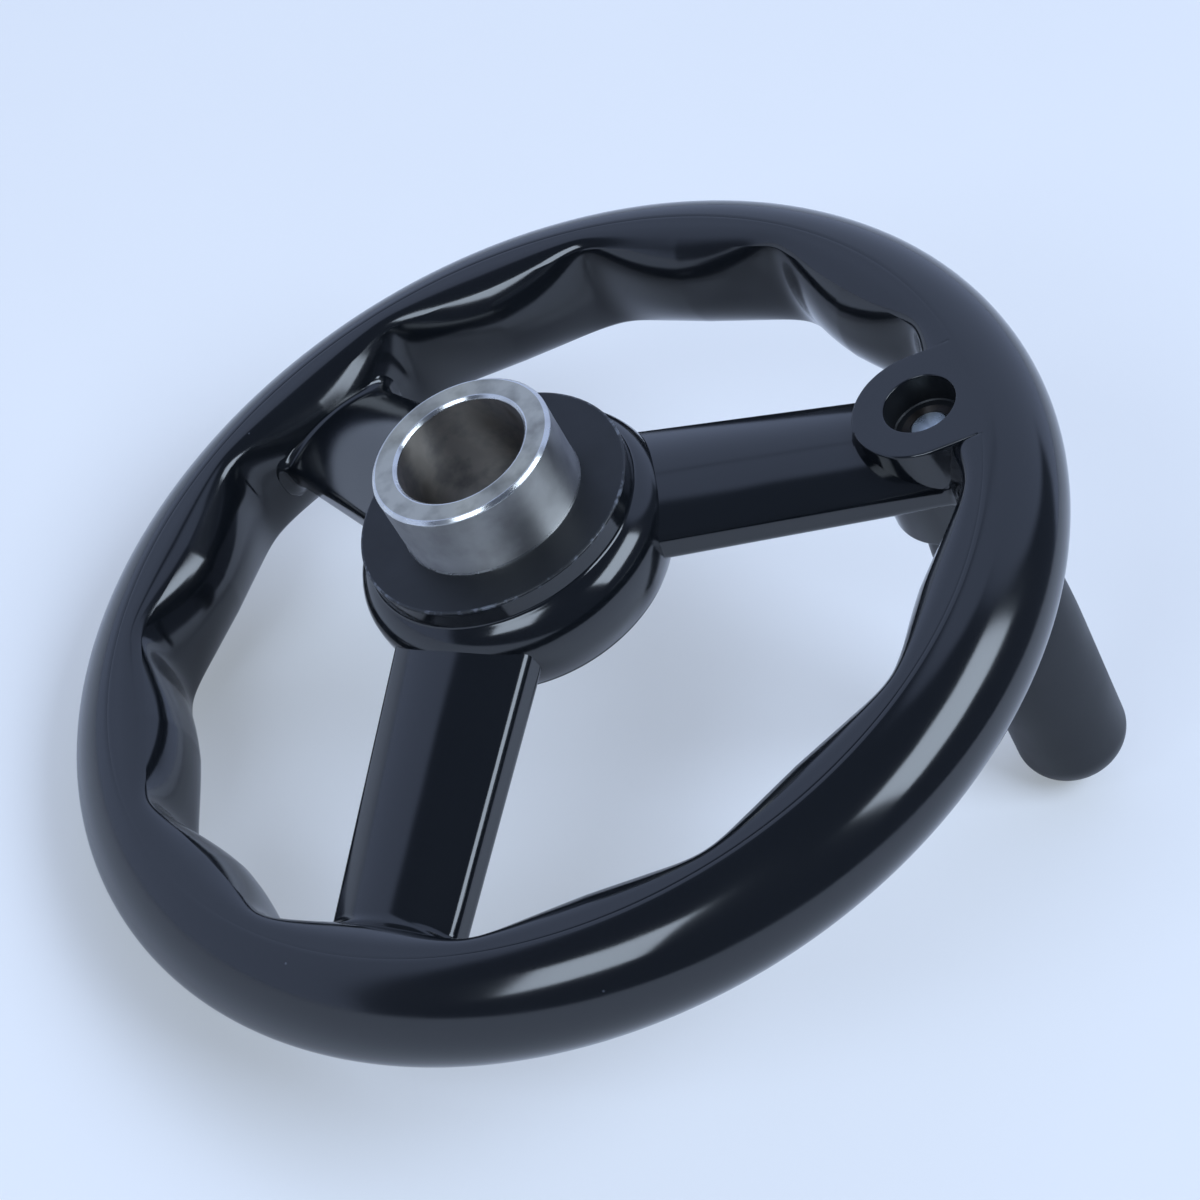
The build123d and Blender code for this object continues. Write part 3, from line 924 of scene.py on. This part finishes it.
class HANDWHEEL_OT_boss(bpy.types.Operator):
    """Makes the boss that carries the handle, with its counterbore"""

    bl_idname = "handwheel.boss"
    bl_label = "Handle boss"

    def execute(self, context):
        """Carries a section around the boss, from counterbore to outline and back."""
        scene = context.scene
        boss, rim = scene.wheel_boss, scene.wheel_rim
        crease = rim.radius - rim.crease_inset
        top = crease_height(rim)
        floor = top - boss.counterbore_depth
        axis_radius = rim.radius - boss.inset
        plan, normal, rounded, direction = boss_plan(boss.radius, axis_radius, crease, boss.edge_fade)
        corner = boss.edge_round
        small = COUNTERBORE_ROUND
        turn = np.radians(np.linspace(0, 90, EDGE_STEPS))
        rows = []

        def ring(radius, height):
            """Adds a circle about the handle's axis."""
            rows.append(np.c_[radius * direction, np.full(len(direction), height)])

        def outline(inset, height):
            """Adds the boss's outline, moved inwards where its edge is rounded."""
            rows.append(np.c_[plan - inset * rounded * normal, np.full(len(direction), height)])

        def guard(height):
            """Adds the outline drawn in towards the handle's axis, to keep the face flat."""
            rows.append(np.c_[plan - 2 * corner * direction, np.full(len(direction), height)])

        ring(boss.insert_radius, -top)
        ring(boss.insert_radius, floor)
        ring(boss.counterbore_radius - small, floor)
        ring(boss.counterbore_radius, floor + small)
        for share in COUNTERBORE_SHARES:
            ring(boss.counterbore_radius, floor + small + (top - floor - 2 * small) * share)
        counterbore_rows = len(rows)
        for step in turn:
            ring(boss.counterbore_radius + small * (1 - cos(step)), top - small * (1 - sin(step)))
        ring(boss.counterbore_radius + 2 * small, top)
        guard(top)
        for step in turn:
            outline(corner * (1 - sin(step)), top - corner * (1 - cos(step)))
        for share in BOSS_SIDE_SHARES:
            outline(0, -top + corner + (2 * top - 2 * corner) * share)
        for step in turn:
            outline(corner * (1 - cos(step)), -top + corner * (1 - sin(step)))
        guard(-top)
        grid = np.stack(rows) + np.array([axis_radius, 0, 0])
        bands = np.zeros(len(rows), dtype=int)
        bands[:counterbore_rows] = 1
        faced = made_once("Faced black phenolic", turned_phenolic, scene.wheel_finish)
        piece = surface("handle_boss", lowered(grid, scene), [gloss(scene), faced], bands)
        attach(piece, "wheel", "phenolic", "wheel_body")
        return {"FINISHED"}


# Bush
BUSH_ROUND = 0.2 * MM


class HANDWHEEL_OT_bush(bpy.types.Operator):
    """Makes the turned steel bush"""

    bl_idname = "handwheel.bush"
    bl_label = "Bush"

    def execute(self, context):
        """Revolves the bush, with own finishes for side, end, worn edges and bore."""
        scene = context.scene
        bush, hub, finish = scene.wheel_bush, scene.wheel_hub, scene.wheel_finish
        low, high = hub.front_height, hub.seat_height
        corners = [
            (bush.radius, low),
            (bush.radius + bush.base_flare, hub.flange_height - bush.base_flare),
            (bush.radius, hub.flange_height + bush.base_flare),
            (bush.radius, high - bush.outer_chamfer),
            (bush.radius - bush.outer_chamfer, high),
            (bush.bore_radius + bush.bore_chamfer, high),
            (bush.bore_radius, high - bush.bore_chamfer),
            (bush.bore_radius, low),
        ]
        profile, owners = softened(corners, [0, 0, 0, *[BUSH_ROUND] * 4, 0])
        side, edge, face, bore = range(4)
        finish_after = {0: side, 1: edge, 2: side, 3: edge, 4: face, 5: edge, 6: bore, 7: side}
        bands = np.array([finish_after[int(owner)] for owner in owners])
        for corner in (3, 4, 5, 6):
            rows = np.flatnonzero(owners == corner)
            bands[rows[:-1]] = edge
        looks = {
            "Turned steel": (finish.steel, (0.38, 0.5), 0.3),
            "Worn steel edge": (finish.steel_edge, (0.2, 0.34), 0.15),
            "Faced steel": (finish.steel_face, (0.34, 0.48), 0.4),
            "Bored steel": (finish.bore, (0.4, 0.6), 0.7),
        }
        steels = [made_once(name, turned_steel, finish, name, *look) for name, look in looks.items()]
        piece = surface("bush", lowered(revolved(profile), scene), steels, bands)
        attach(piece, "wheel", "bush_steel", "hub_bush")
        return {"FINISHED"}


# Insert and spindle
class HANDWHEEL_OT_spindle(bpy.types.Operator):
    """Finishes the insert and the spindle, whose CAD shapes stay"""

    bl_idname = "handwheel.spindle"
    bl_label = "Insert and spindle"

    def execute(self, context):
        """Gives each CAD node its finish."""
        finish = context.scene.wheel_finish
        looks = {
            "handle_spindle": ("Zinc-plated steel", finish.zinc, (0.2, 0.34), 0.25),
            # The insert's dark colour is brownish steel with the counterbore's shade painted in.
            "boss_insert": ("Dull turned insert", finish.insert, (0.4, 0.6), 0.6),
        }
        for name, (title, *look) in looks.items():
            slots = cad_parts[name].material_slots
            if not slots:
                raise RuntimeError(f"{name} has no material slot")
            for slot in slots:
                slot.material = made_once(title, turned_steel, finish, title, *look)
        return {"FINISHED"}


# Revolving grip
GRIP_COLUMNS = 256
BARREL_STEPS = 24
DOME_STEPS = 28
NECK_SLOPE = 0.08
NECK_ROUND = 0.4 * MM
ROUND_MIDDLE = 0.3


def barrel(start, end, slope_start, slope_end, steps):
    """Cubic curve between two (radius, height) points with given radius slopes."""
    share = np.linspace(0, 1, steps)
    drop = start[1] - end[1]
    h00 = 2 * share**3 - 3 * share**2 + 1
    h10 = share**3 - 2 * share**2 + share
    h01 = 1 - h00
    h11 = share**3 - share**2
    radius = h00 * start[0] + h10 * drop * slope_start + h01 * end[0] + h11 * drop * slope_end
    return np.stack([radius, start[1] - drop * share], axis=-1)


class HANDWHEEL_OT_grip(bpy.types.Operator):
    """Makes the revolving grip"""

    bl_idname = "handwheel.grip"
    bl_label = "Revolving grip"

    def execute(self, context):
        """Revolves the barrel with its dome, bore and chamber about the handle's axis."""
        scene = context.scene
        grip, boss, rim = scene.wheel_grip, scene.wheel_boss, scene.wheel_rim
        top = -crease_height(rim) - grip.collar_height - grip.end_float
        free_end = top - grip.length_
        dome_height = free_end + grip.end_round
        widest = (grip.radius, top - grip.widest_depth)
        neck_edge = NECK_ROUND
        neck_middle = ROUND_MIDDLE * neck_edge
        upper = barrel((grip.neck_radius, top - neck_edge), widest, NECK_SLOPE, 0, BARREL_STEPS)
        lower = barrel(widest, (grip.end_radius, dome_height), 0, 0, BARREL_STEPS)
        dome = ellipse_arc((0, dome_height), (grip.end_radius, grip.end_round), 0, -90, DOME_STEPS)
        chamber_floor = top - grip.bore_depth
        chamber_top = chamber_floor + grip.chamber_height
        inside = np.array(
            [
                (0, chamber_floor),
                (grip.chamber_radius, chamber_floor),
                (grip.chamber_radius, chamber_top),
                (grip.bore_radius, chamber_top),
                (grip.bore_radius, top),
                (grip.neck_radius - 2 * neck_edge, top),
                (grip.neck_radius - neck_edge, top),
                (grip.neck_radius - neck_middle, top - neck_middle),
            ]
        )
        profile = np.concatenate([inside, upper, lower[1:], dome[1:]])
        profile[-1, 0] = 0
        centre = (rim.radius - boss.inset, 0)
        grid = lowered(revolved(profile, centre, GRIP_COLUMNS), scene)
        piece = surface(
            "grip",
            grid,
            [made_once("Satin black plastic", satin_plastic, scene.wheel_finish)],
            close_rows=False,
        )
        attach(piece, "grip", "grip_plastic", "handle_grip")
        return {"FINISHED"}


# Stage
FLOOR_TOUCH = Vector((72.8, 0.0, -139.6)) * MM
FLOOR_UP = Vector((0.455, 0.0, 0.8905)).normalized()
CAMERA_PLACE = Vector((116.64, -412.69, 355.73)) * MM
CAMERA_RIGHT = (0.91637, -0.12893, -0.379)
CAMERA_UP = (0.35479, 0.70012, 0.61964)
CAMERA_BACK = (0.18546, -0.70228, 0.68732)
AIM = Vector((0.0, 0.0, -30.0)) * MM
LEFT_PANEL = {"azimuth": -113.0, "elevation": 54.0, "width": 24.0, "height": 24.0}
RIGHT_PANEL = {"azimuth": -21.0, "elevation": 27.0, "width": 38.0, "height": 28.0}
BACK_WALL = {"azimuth": 128.4, "elevation": -26.1, "edge": -0.08, "full": 0.02}
SIDE_WALL = {"azimuth": 41.0, "elevation": 26.0, "edge": 0.866, "full": 0.927}
CORNER_WALL = {"azimuth": 50.0, "elevation": 54.0, "edge": 0.962, "full": 0.985}
WALL_RADIANCE = (0.53, 0.65, 0.96)
LAMP_COLOUR = (0.715, 0.84, 1.0)
PAPER_MOTTLE = 0.97
SEEN_GLOW = 0.3
MIRRORED_GLOW = 0.12
ROOM_RADIANCE = (0.085, 0.105, 0.155)
SENSOR_WIDTH = 36.0
NEAREST = 0.01
FARTHEST = 50.0


def towards(azimuth, elevation):
    """Unit vector at an azimuth and elevation in degrees."""
    level = cos(radians(elevation))
    return Vector(
        (
            level * cos(radians(azimuth)),
            level * sin(radians(azimuth)),
            sin(radians(elevation)),
        )
    )


def panel_light(name, place, radiance, stage):
    """Rectangular lamp that subtends the wanted angles and gives the wanted radiance."""
    lamp = bpy.data.lights.new(name, "AREA")
    lamp.shape = "RECTANGLE"
    lamp.color = LAMP_COLOUR
    lamp.size = 2 * stage.light_distance * tan(radians(place["width"]) / 2)
    lamp.size_y = 2 * stage.light_distance * tan(radians(place["height"]) / 2)
    lamp.energy = radiance * lamp.size * lamp.size_y * pi
    direction = towards(place["azimuth"], place["elevation"])
    light = bpy.data.objects.new(name, lamp)
    light.location = AIM + direction * stage.light_distance
    light.rotation_euler = direction.to_track_quat("Z", "Y").to_euler()
    bpy.context.scene.collection.objects.link(light)


def pale_paper(finish):
    """Seamless pale blue paper: matt and even, and unseen from behind.

    Part of its brightness is its own, as of a bounced-lit studio floor: three tenths to
    camera rays and an eighth to mirror rays. The rest is lit, so that the object's
    shadow stays soft and pale. Seen from behind it lets the light through, so that low
    views aren't blocked.
    """
    material, tree, shader = blank_material("Pale blue paper")
    place = node(tree, "TexCoord").outputs["Object"]
    mottle = node(tree, "TexNoise", {"Vector": place, "Scale": per_metre(60), "Detail": 3})
    darker = [PAPER_MOTTLE * value for value in finish.floor]
    shades = {"Factor": mottle, 6: rgba(finish.floor), 7: rgba(darker)}
    shade = node(tree, "Mix", shades, data_type="RGBA").outputs[2]
    feed(shader, {"Base Color": shade, "Roughness": 0.9, "Specular IOR Level": 0.1})
    path = node(tree, "LightPath").outputs
    glossy = {0: path["Is Glossy Ray"], 1: MIRRORED_GLOW}
    mirrored = node(tree, "Math", glossy, operation="MULTIPLY")
    either = {0: path["Is Camera Ray"], 1: SEEN_GLOW, 2: mirrored}
    share = node(tree, "Math", either, operation="MULTIPLY_ADD")
    own = node(tree, "Emission", {"Color": rgba(finish.floor_glow), "Strength": 1})
    paper = node(tree, "MixShader", {0: share, 1: shader, 2: own})
    behind = node(tree, "NewGeometry").outputs["Backfacing"]
    clear = node(tree, "BsdfTransparent")
    mixed = node(tree, "MixShader", {0: behind, 1: paper, 2: clear})
    feed(tree.nodes["Material Output"], {"Surface": mixed})
    return material


def studio_world(finish):
    """Plain studio: a pale wall behind and beside the object, a dim room in front.

    The wall fills the directions whose dot product with its middle direction is above
    an edge value, with a soft border. Two smaller patches carry it on at its side.
    """
    world = bpy.data.worlds.new("Studio")
    world.use_nodes = True
    tree = world.node_tree
    tree.nodes.clear()
    direction = node(tree, "TexCoord").outputs["Generated"]
    wall = 0.0
    for patch in (BACK_WALL, SIDE_WALL, CORNER_WALL):
        middle = tuple(towards(patch["azimuth"], patch["elevation"]))
        facing = node(tree, "VectorMath", {0: direction, 1: middle}, operation="DOT_PRODUCT")
        border = {"From Min": patch["edge"], "From Max": patch["full"], "To Min": 0, "To Max": 1}
        covered = {"Value": facing.outputs["Value"], **border}
        patch_share = node(tree, "MapRange", covered, interpolation_type="SMOOTHSTEP")
        wall = node(tree, "Math", {0: wall, 1: patch_share}, operation="MAXIMUM")
    shades = {"Factor": wall, 6: rgba(ROOM_RADIANCE), 7: rgba(WALL_RADIANCE)}
    around = node(tree, "Mix", shades, data_type="RGBA").outputs[2]
    lit = node(tree, "Background", {"Color": around, "Strength": 1})
    seen = node(tree, "Background", {"Color": rgba(finish.backdrop), "Strength": 1})
    by_camera = node(tree, "LightPath").outputs["Is Camera Ray"]
    node(tree, "OutputWorld", {"Surface": node(tree, "MixShader", {0: by_camera, 1: lit, 2: seen})})
    bpy.context.scene.world = world


class HANDWHEEL_OT_stage(bpy.types.Operator):
    """Sets the floor, the light and the camera"""

    bl_idname = "handwheel.stage"
    bl_label = "Stage"

    def execute(self, context):
        """Lays the floor under rim and handle, as the wheel rests on both."""
        scene = context.scene
        stage = scene.wheel_stage
        side = FLOOR_UP.cross(Vector((0, 1, 0))).normalized()
        along = FLOOR_UP.cross(side)
        half = stage.floor_size / 2
        corners = [
            FLOOR_TOUCH + side * half * a + along * half * b
            for a, b in ((-1, -1), (1, -1), (1, 1), (-1, 1))
        ]
        mesh = bpy.data.meshes.new("floor")
        mesh.from_pydata([tuple(c) for c in corners], [], [(0, 1, 2, 3)])
        if mesh.polygons[0].normal.dot(FLOOR_UP) < 0:
            mesh.flip_normals()
        mesh.materials.append(pale_paper(scene.wheel_finish))
        floor = bpy.data.objects.new("floor", mesh)
        scene.collection.objects.link(floor)
        panel_light("left_panel", LEFT_PANEL, stage.left_light, stage)
        panel_light("right_panel", RIGHT_PANEL, stage.right_light, stage)
        studio_world(scene.wheel_finish)
        camera = bpy.data.cameras.new("camera")
        camera.lens = stage.lens
        camera.sensor_width = SENSOR_WIDTH
        camera.sensor_fit = "HORIZONTAL"
        camera.clip_start = NEAREST
        camera.clip_end = FARTHEST
        viewer = bpy.data.objects.new("camera", camera)
        axes = Matrix((CAMERA_RIGHT, CAMERA_UP, CAMERA_BACK)).transposed()
        viewer.matrix_world = Matrix.Translation(CAMERA_PLACE) @ axes.to_4x4()
        scene.collection.objects.link(viewer)
        scene.camera = viewer
        scene.view_settings.view_transform = "Standard"
        return {"FINISHED"}


OPERATORS = (
    HANDWHEEL_OT_rim,
    HANDWHEEL_OT_hub,
    HANDWHEEL_OT_spokes,
    HANDWHEEL_OT_boss,
    HANDWHEEL_OT_bush,
    HANDWHEEL_OT_spindle,
    HANDWHEEL_OT_grip,
    HANDWHEEL_OT_stage,
)


class HANDWHEEL_PT_sidebar(bpy.types.Panel):
    """Lists the handwheel's pieces and their sizes"""

    bl_idname = "HANDWHEEL_PT_sidebar"
    bl_label = "Handwheel"
    bl_space_type = "VIEW_3D"
    bl_region_type = "UI"
    bl_category = "Handwheel"

    def draw(self, context):
        """Draws a button for each operator and a box for each group of sizes."""
        for operator in OPERATORS:
            self.layout.operator(operator.bl_idname)
        for name, group in GROUPS.items():
            box = self.layout.box()
            box.label(text=group.__name__)
            for key in group.__annotations__:
                box.prop(getattr(context.scene, name), key)


def register():
    """Registers the classes and gives the scene its sizes."""
    for group in GROUPS.values():
        bpy.utils.register_class(group)
    for name, group in GROUPS.items():
        setattr(bpy.types.Scene, name, PointerProperty(type=group))
    for operator in OPERATORS:
        bpy.utils.register_class(operator)
    bpy.utils.register_class(HANDWHEEL_PT_sidebar)


def unregister():
    """Removes what register added."""
    bpy.utils.unregister_class(HANDWHEEL_PT_sidebar)
    for operator in reversed(OPERATORS):
        bpy.utils.unregister_class(operator)
    for name in reversed(GROUPS):
        delattr(bpy.types.Scene, name)
    for group in reversed(list(GROUPS.values())):
        bpy.utils.unregister_class(group)


def main():
    """Makes every piece and the stage."""
    register()
    for operator in OPERATORS:
        group, name = operator.bl_idname.split(".")
        getattr(getattr(bpy.ops, group), name)()


if __name__ == "__main__":
    main()
